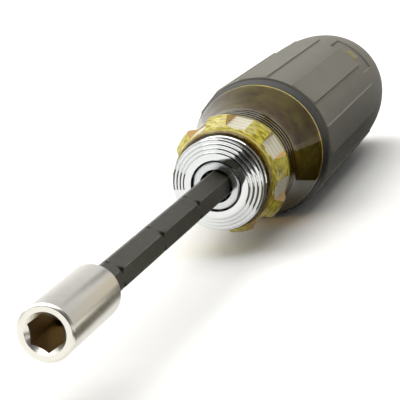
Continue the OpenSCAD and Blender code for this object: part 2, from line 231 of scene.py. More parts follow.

# %% [markdown]
# ## Blackened blade and the other steels
# The blade is alloy steel with a black-oxide finish: a thin dark layer, satin. Its corners are lighter, a
# painted highlight along every edge mixed with wear where it runs through the chuck, and its nicks are
# black, painted shade. Two attributes on the mesh mark them. The other steels are variants of one machined
# finish, so one function makes them.


# %% Blade and other steels
def black_oxide_steel():
    """Black oxide: dark and satin, lighter along its corners as painted highlight mixed with wear, and black
    in the nicks as painted shade.
    """
    material, add, place = new_material("black_oxide_steel")
    cloud = add("TexNoise", {"Vector": place, "Scale": per_size(3.0), "Detail": 5.0})
    grain = add("TexNoise", {"Vector": place, "Scale": per_size(0.25), "Detail": 2.0})
    coat = add("Mix", {MIX_FACTOR: cloud, MIX_A: "#42423c", MIX_B: "#5a584e"}, data_type="RGBA")
    # The corner attribute paints a highlight along every edge of the blade, mixed with wear.
    corner = add("Attribute", attribute_name="corner")
    wear_and_highlight = add("Math", {0: corner.outputs["Fac"], 1: cloud}, operation="MULTIPLY")
    edged = add("Mix", {MIX_FACTOR: wear_and_highlight, MIX_A: coat, MIX_B: "#827f75"}, data_type="RGBA")
    # The nick attribute paints shade into the nicks.
    nick = add("Attribute", attribute_name="nick")
    colour = add("Mix", {MIX_FACTOR: nick.outputs["Fac"], MIX_A: edged, MIX_B: "#100f0d"}, data_type="RGBA")
    rough = add("MapRange", {"Value": grain, "To Min": 0.38, "To Max": 0.52})
    bump = add("Bump", {"Height": grain, "Strength": 0.15, "Distance": 0.02 * MM})
    shader = add("BsdfPrincipled", {
        "Base Color": colour, "Metallic": 0.75, "Roughness": rough, "Normal": bump})
    add("OutputMaterial", {"Surface": shader})
    return material


def turned_steel(name, colour, smooth, coarse):
    """Machined steel, whose gloss wanders between two roughnesses along its tool marks."""
    material, add, place = new_material(name)
    marks = add("TexNoise", {"Vector": place, "Scale": per_size(0.6), "Detail": 4.0})
    rough = add("MapRange", {"Value": marks, "To Min": smooth, "To Max": coarse})
    bump = add("Bump", {"Height": marks, "Strength": 0.1, "Distance": 0.01 * MM})
    shader = add("BsdfPrincipled", {
        "Base Color": colour, "Metallic": 1.0, "Roughness": rough, "Normal": bump})
    add("OutputMaterial", {"Surface": shader})
    return material


BLACKENED = black_oxide_steel()
print("blade finish:", BLACKENED.name)

# %% [markdown]
# ## Clear amber acetate
# The handle is cellulose acetate, cast clear and dyed amber. Its colour isn't on the surface: light loses
# blue and then green on its way through, so thin parts are yellow and deep parts brown. So the shader is
# clear plastic, and an absorbing volume gives the colour. The webs between the flutes are crazed, with
# streaks that run round the tool, so they are only partly clear. Cut walls and windows are finishes of the
# same plastic, and milled floors were left matt and look milky. The grooves are the same plastic painted
# black, as painted shade, and the rim is painted pale yellow, as a painted highlight.

# %% Cast acetate
CRAZED = Sizes(whole=113.2, end=125.2)
STREAK_RADIUS = 4.5  # the crazing is unrolled from a third of the real radius, which draws its streaks out
ACETATE_IOR = 1.48


def dyed(material, add, surface):
    """The material with its surface and, behind it, the amber dye that colours by depth."""
    dye = add("VolumeAbsorption", {"Color": "#f6ee70", "Density": 110.0})
    add("OutputMaterial", {"Surface": surface, "Volume": dye})
    return material


def amber_acetate():
    """Cast acetate: clear and coloured by depth, with fine crazing from the nose to the neck."""
    material, add, place = new_material("amber_acetate")
    along = add("SeparateXYZ", {0: place}).outputs
    front, whole, neck, end = [TIP_X + s * MM for s in (CORE.front, CRAZED.whole, CORE.neck, CRAZED.end)]
    nose = add("MapRange", {"Value": along["X"], "From Min": end, "From Max": neck})
    face = add("MapRange", {"Value": along["X"], "From Min": front, "From Max": whole})
    webs = add("Math", {0: nose, 1: face}, operation="MULTIPLY")
    flow = add("TexNoise", {"Vector": place, "Scale": per_size(6.0), "Detail": 2.0})
    depth = add("MapRange", {"Value": flow, "From Min": 0.35, "From Max": 0.65})
    deep = add("Mix", {MIX_FACTOR: depth, MIX_A: "#a8781f", MIX_B: "#f0d65c"}, data_type="RGBA")
    height = add("Math", {0: along["Z"], 1: AXIS_Z}, operation="SUBTRACT")
    angle = add("Math", {0: along["Y"], 1: height}, operation="ARCTAN2")
    around = add("Math", {0: angle, 1: STREAK_RADIUS * MM}, operation="MULTIPLY")
    rolled = add("CombineXYZ", {"X": along["X"], "Y": around})
    crazing = add("TexNoise", {"Vector": rolled, "Scale": per_size(0.6), "Detail": 4.0})
    spark = add("MapRange", {"Value": crazing, "From Min": 0.33, "From Max": 0.62})
    crazed = add("Mix", {MIX_FACTOR: spark, MIX_A: "#93800f", MIX_B: "#f6e860"}, data_type="RGBA")
    colour = add("Mix", {MIX_FACTOR: webs, MIX_A: deep, MIX_B: crazed}, data_type="RGBA")
    clear = add("MapRange", {"Value": webs, "To Min": 0.9, "To Max": 0.3})
    uneven = add("MapRange", {"Value": webs, "To Min": 0.0, "To Max": 0.04})
    bump = add("Bump", {"Height": crazing, "Strength": uneven, "Distance": 0.1 * MM})
    return dyed(material, add, add("BsdfPrincipled", {
        "Base Color": colour, "Roughness": 0.04, "IOR": ACETATE_IOR, "Transmission Weight": clear,
        "Normal": bump}))


AMBER = amber_acetate()
print("cast finish:", AMBER.name)


# %% Cut, milled and painted acetate
def cut_and_painted_acetate(name, colour, clear, gloss):
    """Cut acetate: fine tool marks blur its gloss, and it is clear in part or not at all. It also gives the
    grooves their painted shade and the rim its painted highlight.
    """
    material, add, place = new_material(name)
    marks = add("TexNoise", {"Vector": place, "Scale": per_size(0.5), "Detail": 3.0})
    rough = add("MapRange", {"Value": marks, "To Min": 0.2, "To Max": 0.4})
    return dyed(material, add, add("BsdfPrincipled", {
        "Base Color": colour, "Roughness": rough, "IOR": ACETATE_IOR, "Transmission Weight": clear,
        "Specular IOR Level": gloss}))


def milled_acetate():
    """Milled acetate: left matt by the cutter, so it scatters white light in bands."""
    band = 2.2
    material, add, place = new_material("milled_acetate")
    cuts = add("TexWave", {
        "Vector": place, "Scale": per_size(band) * WAVE_LENGTH, "Distortion": 1.0, "Detail": 1.0})
    colour = add("Mix", {
        MIX_FACTOR: cuts.outputs["Fac"], MIX_A: "#d8d3b4", MIX_B: "#efecda"}, data_type="RGBA")
    return dyed(material, add, add("BsdfPrincipled", {
        "Base Color": colour, "Roughness": 0.35, "IOR": ACETATE_IOR, "Transmission Weight": 0.2}))


MILLED = milled_acetate()
CUT_WALL = cut_and_painted_acetate("cut_acetate_wall", "#d2a85c", 0.2, 0.3)
# The grooves are painted black: painted shade in the neck's grooves.
PAINTED_GROOVE_SHADE = cut_and_painted_acetate("cut_acetate_groove", "#0c0a05", 0.0, 0.0)
# The rim is painted pale yellow as a painted highlight.
PAINTED_RIM_HIGHLIGHT = cut_and_painted_acetate("bright_acetate_rim", "#fff08a", 0.0, 0.5)
WINDOW_FACE = cut_and_painted_acetate("window_acetate", "#857c40", 0.2, 0.5)
print("materials so far:", len(bpy.data.materials))

# %% [markdown]
# ## Cushion rubber
# The grip is a soft vinyl moulded over the core. It is matt because the mould was blasted, which leaves a
# fine grain, and its grey is a little warm and uneven where hands polish it. The lip at the front is a
# smoother vinyl, coloured darker than the body as painted shade, so one function makes both.


# %% Rubber
def moulded_vinyl(name, dark, light, smooth):
    """Moulded vinyl: matt, with a blasted grain drawn coarse enough to show."""
    material, add, place = new_material(name)
    cloud = add("TexNoise", {"Vector": place, "Scale": per_size(9.0), "Detail": 4.0})
    grain = add("TexNoise", {"Vector": place, "Scale": per_size(0.4), "Detail": 2.0})
    colour = add("Mix", {MIX_FACTOR: cloud, MIX_A: dark, MIX_B: light}, data_type="RGBA")
    rough = add("MapRange", {"Value": grain, "To Min": smooth, "To Max": smooth + 0.2})
    bump = add("Bump", {"Height": grain, "Strength": 0.25, "Distance": 0.05 * MM})
    shader = add("BsdfPrincipled", {"Base Color": colour, "Roughness": rough, "Normal": bump})
    add("OutputMaterial", {"Surface": shader})
    return material


VINYL = moulded_vinyl("cushion_vinyl", "#6b685d", "#76736a", 0.6)
# The lip's darker grey is painted shade on its front-facing ring.
LIP_VINYL = moulded_vinyl("smooth_lip_vinyl", "#343432", "#3b3b39", 0.45)
print("vinyl finishes:", VINYL.name, LIP_VINYL.name)

# %% [markdown]
# ## Helpers for meshes
# Most pieces were turned on a lathe, so they are an outline of stations and radii. `rounded` gives the
# outline its small corner rounds, which is where polished edges catch the light, and `skin` covers rows of
# points with quads. A row of one point closes the skin on the axis.

# %% Outlines
ROUND_REACH = 0.48  # the share of a side that one corner round may take


def shares(count):
    """From 0 to 1 in equal steps."""
    return [k / count for k in range(count + 1)]


def rounded(corners, steps=4):
    """Outline of (station, radius, corner round) points, with each corner drawn as a short curve."""
    outline = []
    for i, (station, radius, corner) in enumerate(corners):
        here = Vector((station, radius))
        if corner == 0:
            outline.append((station, radius))
            continue
        back = Vector(corners[i - 1][:2]) - here
        ahead = Vector(corners[(i + 1) % len(corners)][:2]) - here
        room = ROUND_REACH * min(back.length, ahead.length)
        reach = min(corner / tan(back.angle(ahead) / 2), room)
        first, last = here + back.normalized() * reach, here + ahead.normalized() * reach
        for share in shares(steps):
            point = first * (1 - share) ** 2 + here * 2 * share * (1 - share) + last * share**2
            outline.append((point.x, point.y))
    return outline


# %% Skins
DOUBLED = 1e-7


def as_object(name, mesh):
    """Object in the scene with the faces of a bmesh, which is freed."""
    data = bpy.data.meshes.new(name)
    mesh.to_mesh(data)
    mesh.free()
    piece = bpy.data.objects.new(name, data)
    scene.collection.objects.link(piece)
    return piece


def skin(name, rows, around=True, closed=False):
    """Object of quads over rows of points, joined round each row, and from last row to first."""
    mesh = bmesh.new()
    grid = [[mesh.verts.new(point) for point in row] for row in rows]
    pairs = list(zip(grid, grid[1:])) + ([(grid[-1], grid[0])] if closed else [])
    for near, far in pairs:
        count = max(len(near), len(far))
        for i in range(count if around else count - 1):
            j = i + 1
            ring = [near[i % len(near)], near[j % len(near)], far[j % len(far)], far[i % len(far)]]
            mesh.faces.new(list(dict.fromkeys(ring)))
    return as_object(name, mesh)


def turned_rows(outline, angles, lift=AXIS_Z):
    """Rows of points round the axis for an outline of stations and radii."""
    return [[round_point(station, radius, angle, lift) for angle in angles] for station, radius in outline]


def tidy_mesh(piece, sharp_degrees):
    """Joins doubled points, turns all faces outwards and shades smooth up to an angle."""
    mesh = bmesh.new()
    mesh.from_mesh(piece.data)
    bmesh.ops.remove_doubles(mesh, verts=mesh.verts, dist=DOUBLED)
    bmesh.ops.recalc_face_normals(mesh, faces=mesh.faces)
    mesh.to_mesh(piece.data)
    mesh.free()
    piece.data.shade_smooth()
    piece.data.set_sharp_from_angle(angle=radians(sharp_degrees))
    return piece


def dress(piece, body, slot, nodes, *materials):
    """Gives a piece its materials and its body, and hides the solids it stands for. Its slot is not used."""
    piece.data.materials.clear()
    for material in materials:
        piece.data.materials.append(material)
    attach(piece, body)
    if nodes:
        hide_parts(*nodes)
    print(piece.name, len(piece.data.polygons), "faces")
    return piece


# %% [markdown]
# ## Repeating a sector with Geometry Nodes
# The blade has six equal corners, the amber ring eight flutes and the grip eight panels. So each of these
# is modelled as one sector, and one node tree turns copies of it round the axis and welds them. On the grip
# two opposite sectors differ, so the tree takes a second sector and puts it at every fourth place.

# %% The tree that repeats a sector
WELD = 0.001 * MM


def new_tree(name, inputs, output):
    """A geometry tree with one output, its function for adding nodes, and its named inputs."""
    tree = bpy.data.node_groups.new(name, "GeometryNodeTree")
    for title, kind in inputs.items():
        tree.interface.new_socket(title, in_out="INPUT", socket_type="NodeSocket" + kind)
    tree.interface.new_socket(output, in_out="OUTPUT", socket_type="NodeSocketGeometry")
    add = partial(add_node, tree)
    return tree, add, add("NodeGroupInput").outputs


def sector_tree():
    """Tree that repeats a sector round the X axis and swaps in a second one at marked places."""
    tree, add, given = new_tree("repeat_round_the_axis", {
        "Sector": "Geometry", "Count": "Int", "Turn": "Float", "Marked sector": "Object",
        "Marked every": "Int", "Marked first": "Int", "Axis height": "Float", "Finish": "Material"}, "Piece")
    places = add("MeshLine", {"Count": given["Count"], "Offset": (0, 0, 0)})
    index = add("InputIndex")
    step = add("ShaderNodeMath", {0: TAU, 1: given["Count"]}, operation="DIVIDE")
    angle = add("ShaderNodeMath", {0: index, 1: step, 2: given["Turn"]}, operation="MULTIPLY_ADD")
    euler = add("ShaderNodeCombineXYZ", {"X": angle})
    rotation = add("FunctionNodeEulerToRotation", {0: euler})
    rest = add("ShaderNodeMath", {0: index, 1: given["Marked every"]}, operation="MODULO")
    marked = add("FunctionNodeCompare", {0: rest, 1: given["Marked first"]}, operation="EQUAL")
    plain = add("FunctionNodeBooleanMath", {0: marked}, operation="NOT")
    other = add("ObjectInfo", {"Object": given["Marked sector"]})
    joined = add("JoinGeometry")
    for chosen, shape in ((plain, given["Sector"]), (marked, other.outputs["Geometry"])):
        copies = add("InstanceOnPoints", {
            "Points": places, "Selection": chosen, "Instance": shape, "Rotation": rotation})
        tree.links.new(copies.outputs[0], joined.inputs[0])
    whole = add("RealizeInstances", {0: joined})
    welded = add("MergeByDistance", {"Geometry": whole, "Distance": WELD})
    height = add("ShaderNodeCombineXYZ", {"Z": given["Axis height"]})
    lifted = add("Transform", {"Geometry": welded, "Translation": height})
    painted = add("SetMaterial", {"Geometry": lifted, "Material": given["Finish"]})
    add("NodeGroupOutput", {0: painted})
    return tree


SECTOR_TREE = sector_tree()
print("sector tree nodes:", len(SECTOR_TREE.nodes))


# %% A piece grown by a tree
def grown(piece, tree, values, *spare):
    """The mesh that a tree makes of a piece, with inputs given by name. Spare objects are removed."""
    modifier = piece.modifiers.new(tree.name, "NODES")
    modifier.node_group = tree
    names = {s.name: s.identifier for s in tree.interface.items_tree if s.in_out == "INPUT"}
    for title, value in values.items():
        modifier[names[title]] = value
    graph = bpy.context.evaluated_depsgraph_get()
    result = bpy.data.meshes.new_from_object(piece.evaluated_get(graph))
    piece.modifiers.remove(modifier)
    result.name = piece.name
    piece.data = result
    for thing in spare:
        bpy.data.objects.remove(thing)
    return piece


def all_round(sector, count, turn, finish, marked=None, every=1, first=-1):
    """The whole piece from one sector, and from a second sector at marked places."""
    return grown(sector, SECTOR_TREE, {
        "Count": count, "Turn": radians(turn), "Marked sector": marked, "Marked every": every,
        "Marked first": first, "Axis height": AXIS_Z, "Finish": finish}, *([marked] if marked else []))


# %% [markdown]
# ## The nut socket
# A turned cylinder with a hex recess broached into it and a cone cut into its mouth. Where the cone meets
# the six flats it leaves six crescents. So the inner wall has one row where the cone ends, at a depth that
# changes with the angle, and no stair steps appear along the crescents. The broach left the recess bare, so
# its sides are a warmer steel than the plated outside.

# %% Nut socket
COLUMNS = 192
ALL_ROUND = [TAU * k / COLUMNS for k in range(COLUMNS)]
HALF_FLAT = radians(30)  # half the angle that one flat of a hexagon spans
UPRIGHT = 0.1  # most that the normal of a side may lean along the axis


def hex_radius(flats, angle):
    """Distance from the axis to a hexagon with a corner at the top."""
    return flats / 2 / cos(angle % (2 * HALF_FLAT) - HALF_FLAT)


def nut_socket():
    """Socket with a chamfered rim, a coned mouth and a hex bore."""
    end, radius, mouth, chamfer = SOCKET.end, SOCKET.radius, SOCKET.mouth, SOCKET.chamfer
    outside = rounded([
        (0, mouth, 0), (0, radius - chamfer, 0.3), (chamfer, radius, 0.3), (end - chamfer, radius, 0.3),
        (end, radius - chamfer, 0.3)])
    bore = [(hex_radius(SOCKET.flats, angle), angle) for angle in ALL_ROUND]
    rows = turned_rows(outside, ALL_ROUND)
    rows.append([round_point(end, r, angle) for r, angle in bore])
    rows.append([round_point(mouth - r, r, angle) for r, angle in bore])
    return tidy_mesh(skin("nut_socket_plated", rows, closed=True), 24)


BROACHED = turned_steel("broached_steel", "#e0cfae", 0.25, 0.4)
socket = dress(nut_socket(), "blade", "nickel_plate", ["nut_socket"], NICKEL, BROACHED)
for face in socket.data.polygons:
    away = hypot(face.center.y, face.center.z - AXIS_Z) / MM
    face.material_index = int(away < SOCKET.mouth - 0.2 and abs(face.normal.x) < UPRIGHT)

# %% [markdown]
# ## The blade
# A hex bar whose corners are slightly rounded, with a ring of nicks across all six corners every inch. The
# locking balls drop into them. One corner is modelled, from the middle of one flat to the middle of the
# next, and each row takes the lesser of the bar's radius and the nick's.

# %% Blade
NICK_ROWS = 12
# Nicks are painted black as painted shade, fully from this depth on.
NICK_SHADE = 0.25  # depth in millimetres from which a nick is wholly black
CORNER_COLUMNS = 6
FLAT_COLUMNS = 12


def blade_section():
    """Points of one corner of the bar, as radius, angle and a share of painted highlight and wear, from flat
    to flat.
    """
    half, edge = BLADE.flats / 2, BLADE.edge
    middle = (half - edge) / cos(HALF_FLAT)
    leans = [HALF_FLAT * k / CORNER_COLUMNS for k in range(-CORNER_COLUMNS, CORNER_COLUMNS + 1)]
    # The rounded corner takes the full share of painted highlight and wear.
    points = [(middle + edge * cos(lean), edge * sin(lean), 1.0) for lean in leans]
    flat_middle = half * Vector((cos(HALF_FLAT), sin(HALF_FLAT)))
    corner_end = Vector(points[-1][:2])
    side = []
    # The flat columns next to the corner take a little of the painted highlight and wear.
    for k in range(1, FLAT_COLUMNS + 1):
        point = corner_end.lerp(flat_middle, (k / FLAT_COLUMNS) ** 1.4)
        side.append((point.x, point.y, max(0.0, 0.5 - k / 4)))
    section = [(x, -y, lit_and_worn) for x, y, lit_and_worn in reversed(side)] + points + side
    return [(hypot(x, y), atan2(y, x), lit_and_worn) for x, y, lit_and_worn in section]


def blade_stations():
    """Stations of the rows, dense across every nick, with the nick's radius at each."""
    corner = BLADE.flats / 2 / cos(HALF_FLAT)
    depth, radius = NOTCH.depth, NOTCH.radius
    centre = corner - depth + radius
    half = sqrt(radius**2 - (radius - depth) ** 2)
    rows = [(BLADE.front, corner)]
    for k in range(NOTCH.ahead, -NOTCH.behind - 1, -1):
        for share in shares(NICK_ROWS):
            away = half * (2 * share - 1)
            station = NOTCH.at - k * NOTCH.pitch + away
            rows.append((station, centre - sqrt(radius**2 - away**2)))
    end, chamfer = BLADE.end, BLADE.chamfer
    return rows + [(end - chamfer, corner), (end, corner - chamfer)]


def hex_blade():
    """Blade from one corner sector, with the painted highlight and wear of its corners and the painted shade
    of its nicks as attributes.
    """
    section, stations = blade_section(), blade_stations()
    rows = [[in_frame(BLADE.front, 0, 0, 0)]]
    for station, limit in stations:
        rows.append([round_point(station, min(radius, limit), angle, 0) for radius, angle, _ in section])
    rows.append([in_frame(BLADE.end, 0, 0, 0)])
    sector = skin("hex_blade_blackened", rows, around=False)
    # Painted shade in each nick grows with its depth.
    depths = [max(0.0, radius - limit) for _, limit in stations for radius, _, _ in section]
    cut = [min(1.0, depth / NICK_SHADE) for depth in depths]
    # Each corner takes its share of painted highlight and wear.
    lit_and_worn = [w for _ in stations for _, _, w in section]
    for title, values in (("corner", lit_and_worn), ("nick", cut)):
        attribute = sector.data.attributes.new(title, "FLOAT", "POINT")
        attribute.data.foreach_set("value", [0.0] + values + [0.0])
    return tidy_mesh(all_round(sector, 6, 0, BLACKENED), 20)


dress(hex_blade(), "blade", "black_oxide_steel", ["hex_blade"], BLACKENED)

# %% [markdown]
# ## The release collar
# A chrome cap with four fine steps on its front, whose side narrows towards a lip at its rear. It is one
# closed outline turned round the axis. Each step ends in a narrow bevel that leans by about 22 degrees, so
# it mirrors a darker part of the room than the flat of the step does, and draws the dark arcs.

# %% Release collar
BEVEL = Sizes(width=0.32, depth=0.13)


def collar_cap():
    """Cap turned from its stepped outline, hollow behind for the sleeve."""
    front, end, radius, lip = CAP.front, CAP.end, CAP.radius, CAP.lip
    corners = [(front, CAP.hole, 0.15)]
    for i in range(CAP.steps):
        edge = radius - CAP.rim - (CAP.steps - 1 - i) * CAP.tread
        level = front + i * CAP.rise
        corners += [
            (level, edge - BEVEL.width, 0.1), (level + BEVEL.depth, edge, 0.1),
            (level + CAP.rise, edge, 0.15)]
    foot, inside, floor = radius - CAP.taper / 2, CAP.inside, front + CAP.wall
    corners += [
        (front + CAP.steps * CAP.rise, radius, 0.25), (end - 2 * lip, radius - CAP.taper, 0.15),
        (end - lip, foot, 0.1), (end, foot, 0.05), (end, inside, 0), (floor, inside, 0),
        (floor, CAP.hole, 0)]
    rows = turned_rows(rounded(corners), ALL_ROUND)
    return tidy_mesh(skin("collar_cap_chromed", rows, closed=True), 30)


dress(collar_cap(), "collar", "chrome_plate", ["collar_cap"], CHROME)

# %% [markdown]
# ## The amber handle
# One solid casting: a plain nose, a crowned ring with eight milled flutes whose walls lean outwards, a neck
# with four fine grooves, a flared cone that ends in a rim with a painted highlight, and a stem inside the
# grip.
# Clear plastic shows its inside, so the chuck's pocket and the blade's bore are there too. Where steel or
# rubber was moulded against the plastic, its surface goes a hair into the neighbour, so that no film of air
# shows.

# %% Rounded end and neck
DOME_ROWS = 14
DOME_POWER = 2.6
FLARE_ROWS = 18
MOULDED = 0.06


def bulge(share):
    """Height of a rounded end along its length, both as shares."""
    return (1 - share**DOME_POWER) ** (1 / DOME_POWER)


def dome(full, end):
    """Outline of the core's rounded end, or of the lining round it."""
    start, flat = GRIP.dome, GRIP.butt - GRIP.wall
    along = [sin(pi / 2 * share) for share in shares(DOME_ROWS)]
    return [(start + (end - start) * share, flat + (full - flat) * bulge(share)) for share in along]


def neck_outline():
    """Neck with its grooves, then the flare and the rim."""
    radius, half, slope = CORE.neck_radius, GROOVE.width / 2, GROOVE.slope
    low = radius - GROOVE.depth
    corners = [(CORE.neck, radius, 0)]
    for i in range(GROOVE.count):
        middle = GROOVE.first + i * GROOVE.pitch
        corners += [
            (middle - half, radius, 0.08), (middle - half + slope, low, 0.1),
            (middle + half - slope, low, 0.1), (middle + half, radius, 0.08)]
    length, rise = CORE.rim - CORE.cone, CORE.rim_radius - radius
    for share in shares(FLARE_ROWS):
        corners.append((CORE.cone + length * share, radius + rise * share**1.25, 0))
    corners += [(GRIP.front, CORE.rim_radius, 0.2), (GRIP.front, GRIP.inside + MOULDED, 0)]
    return rounded(corners, 3)


print("points of the neck's outline:", len(neck_outline()))

# %% Flutes
FLUTE_FLOOR = 5
FLUTE_WALL = 4
FLUTE_WEB = 7


def crown_radius(share):
    """Radius of the fluted ring's webs at a share of its length."""
    base = CORE.nose + 0.05 + (CORE.neck_radius - CORE.nose - 0.1) * share
    return base + (CORE.crown - base) * sin(pi * share) ** 1.6


def floor_height(share):
    """Distance of a flute's floor from the axis at a share of its length."""
    return FLUTE.floor + FLUTE.rise * share


def flute_columns(crown, floor):
    """Half a flute and half a web, as (out, side) points."""
    half, lean = FLUTE.width / 2, FLUTE.lean
    sides = [half * share for share in shares(FLUTE_FLOOR)[:-1]]
    points = [(min(floor, sqrt(crown**2 - side**2)), side) for side in sides]
    spread, room = floor + half * lean, max(0.0, crown**2 - floor**2 - half**2)
    deep = (sqrt(spread**2 + (1 + lean**2) * room) - spread) / (1 + lean**2)
    foot = min(floor, sqrt(crown**2 - half**2))
    for share in shares(FLUTE_WALL):
        points.append((foot + deep * share, half + deep * share * lean))
    edge, last = atan2(half + deep * lean, foot + deep), pi / FLUTE.count
    for share in shares(FLUTE_WEB)[1:]:
        angle = edge + (last - edge) * share
        points.append((crown * cos(angle), crown * sin(angle)))
    return points


def flute_row(crown, floor):
    """A flute between two half webs: half a section and its mirror image."""
    half = flute_columns(crown, floor)
    return [(out, -side) for out, side in reversed(half[1:])] + half


print("points across a flute:", len(flute_row(CORE.crown, FLUTE.floor)))

# %% Amber handle
CROWN_ROWS = 20


def amber_handle():
    """Casting from one flute's sector, with its pocket, bore and stem."""
    front, nose, pocket, chamfer = CORE.front, CORE.nose, CORE.pocket, CORE.chamfer
    bore, seat, stem_end = CORE.bore, CORE.seat - MOULDED, GRIP.end - GRIP.wall
    plain = [atan2(side, out) for out, side in flute_row(nose, FLUTE.floor)]
    inner = [
        (CORE.bore_end, bore), (CORE.seat_end, bore), (CORE.seat_end, seat),
        (CORE.pocket_end, seat), (CORE.pocket_end, pocket)]
    outer = rounded([
        (front, pocket, 0.15), (front, nose - chamfer, 0.1), (front + chamfer, nose, 0.3),
        (CORE.flute, nose, 0)], 3)
    stem = dome(GRIP.inside + MOULDED, stem_end)
    rows = [[in_frame(CORE.bore_end, 0, 0, 0)]] + turned_rows(inner + outer, plain, 0)
    for share in shares(CROWN_ROWS):
        station = CORE.flute + (CORE.neck - CORE.flute) * share
        points = flute_row(crown_radius(share), floor_height(share))
        rows.append([in_frame(station, -side, out, 0) for out, side in points])
    rows += turned_rows(neck_outline() + stem, plain, 0) + [[in_frame(stem_end, 0, 0, 0)]]
    sector = skin("amber_handle", rows, around=False)
    return tidy_mesh(all_round(sector, FLUTE.count, FLUTE.turn, AMBER), 28)


handle = dress(amber_handle(), "handle", "amber_acetate", ["handle_core"],
    AMBER, MILLED, CUT_WALL, PAINTED_GROOVE_SHADE, PAINTED_RIM_HIGHLIGHT)

# %% [markdown]
# ## Where the cutter went
# The casting has five finishes. The place of a face's middle tells its finish: milled, cut, left as cast,
# painted shade in a groove or a painted highlight on the rim. So no face is marked by hand, and the finishes
# stay right if the rows change.

# %% Finishes of the handle
# The groove faces get painted shade, and the rim faces a painted highlight.
WEB, FLOOR, WALL, SHADED_GROOVE, RIM = range(5)
NEAR = Sizes(wall=0.02, side=0.01, floor=0.03, rear=0.002, groove=0.04, rim=0.3)


def finish_of(face):
    """The finish of a face of the casting, by the place of its middle."""
    step, half = TAU / FLUTE.count, FLUTE.width / 2
    station = (face.center.x - TIP_X) / MM
    share = (station - CORE.flute) / (CORE.neck - CORE.flute)
    across, up = -face.center.y / MM, (face.center.z - AXIS_Z) / MM
    radius = hypot(across, up)
    lean = (atan2(across, up) - radians(FLUTE.turn) + step / 2) % step - step / 2
    side, deep = abs(radius * sin(lean)), radius * cos(lean) - floor_height(share)
    in_ring = 0 < share < 1
    if in_ring and abs(side - half - deep * FLUTE.lean) < NEAR.wall:
        return WALL
    # Faces in the grooves get the painted shade.
    on_neck = CORE.pocket + 1 < radius < CORE.neck_radius - NEAR.groove
    if on_neck and GROOVE.first - 0.4 < station < CORE.cone:
        return SHADED_GROOVE
    # The rim's faces get the painted highlight.
    if radius > CORE.rim_radius - NEAR.rim and -NEAR.rim < station - CORE.rim < 0.55:
        return RIM
    rear = abs(share - 1) < NEAR.rear and radius < CORE.neck_radius
    milled = side < half - NEAR.side and (rear or in_ring and abs(deep) < NEAR.floor)
    pocket = CORE.front + 0.3 < station < CORE.pocket_end and radius < CORE.pocket + 0.1
    return FLOOR if milled or pocket else WEB


finishes = [finish_of(face) for face in handle.data.polygons]
handle.data.polygons.foreach_set("material_index", finishes)
print("faces of each finish:", [finishes.count(k) for k in range(len(handle.data.materials))])

# %% [markdown]
# ## The cushion grip
# A soft sleeve with a lip, a groove, eight flat raised panels and a rounded end. On two opposite sides the
# panel is shorter, and a shallow recess behind it shows the amber core through a window. In polar form the
# surface is one radius for each station and angle, so smooth steps raise the panels and sink the recess.

# %% Rows and columns of the grip
EDGE_SPAN = 0.9  # degrees on each side of an edge in which the columns are close together
GRIP_COLUMNS = (7, 8, 3, 8)  # over half a panel, its edge, the space between and the recess's edge
LIP_ROWS = 8
FIRST_ROW = 0.9
ROW_GAP = 7.0
FINE_GAP = 0.12
END_ROWS = 24


def grip_columns():
    """Angles of one sector, close together at the edges of panel and recess."""
    panel = degrees(asin(PANEL.width / 2 / (GRIP.front_radius + 0.2)))
    recess, near = RECESS.half_span, EDGE_SPAN
    marks = [0, panel - near, panel + near, recess - near, recess + near]
    half = []
    for start, end, count in zip(marks, marks[1:], GRIP_COLUMNS):
        half += [start + (end - start) * share for share in shares(count)[:-1]]
    half.append(180 / PANEL.count)
    return [radians(angle) for angle in [-angle for angle in reversed(half[1:])] + half]


def grip_outline():
    """Outline of the sleeve between its panels, up to where its end begins."""
    front, panel, lip_end, lip = GRIP.front, GRIP.panel, GRIP.lip_end, GRIP.lip
    low, high = GRIP.groove, GRIP.front_radius
    corners = [(front, GRIP.inside, 0)]
    rise = lip - CORE.rim_radius - 0.1
    for share in shares(LIP_ROWS)[:-1]:
        corners.append((front + (lip_end - front) * share, lip - rise * (1 - share) ** 1.5, 0.05))
    corners += [
        (lip_end, lip, 0.2), (lip_end, low, 0.15), (panel - 0.1, low, 0.15), (panel, high, 0.2),
        (panel + FIRST_ROW, high, 0)]
    slope = (GRIP.rear_radius - high) / (GRIP.dome - panel)
    stations = [panel + FIRST_ROW + k * ROW_GAP for k in range(1, 8)]
    return rounded(corners) + [(s, high + slope * (s - panel)) for s in stations]


def rear_outline():
    """Rows of the rounded end, close together where panels and recess end."""
    start, end, flat = GRIP.dome, GRIP.end, GRIP.butt
    stations = [start + 0.4]
    for edge in (PANEL.short_end, PANEL.end, RECESS.end):
        stations += [edge + FINE_GAP * k for k in range(-4, 5)]
    last = RECESS.end + 1
    stations += [last + (end - last) * sin(pi / 2 * share) for share in shares(END_ROWS)[1:]]
    height = GRIP.rear_radius - flat
    return [(s, flat + height * bulge((s - start) / (end - start))) for s in stations]


print("columns of a panel:", len(grip_columns()))

# %% Cushion grip
EDGE_BLUR = 0.14
LINING_GAP = 0.02


def smooth_step(value, middle, blur):
    """0 before the middle and 1 after it, over twice the blur."""
    share = min(1.0, max(0.0, (value - middle + blur) / (2 * blur)))
    return share * share * (3 - 2 * share)


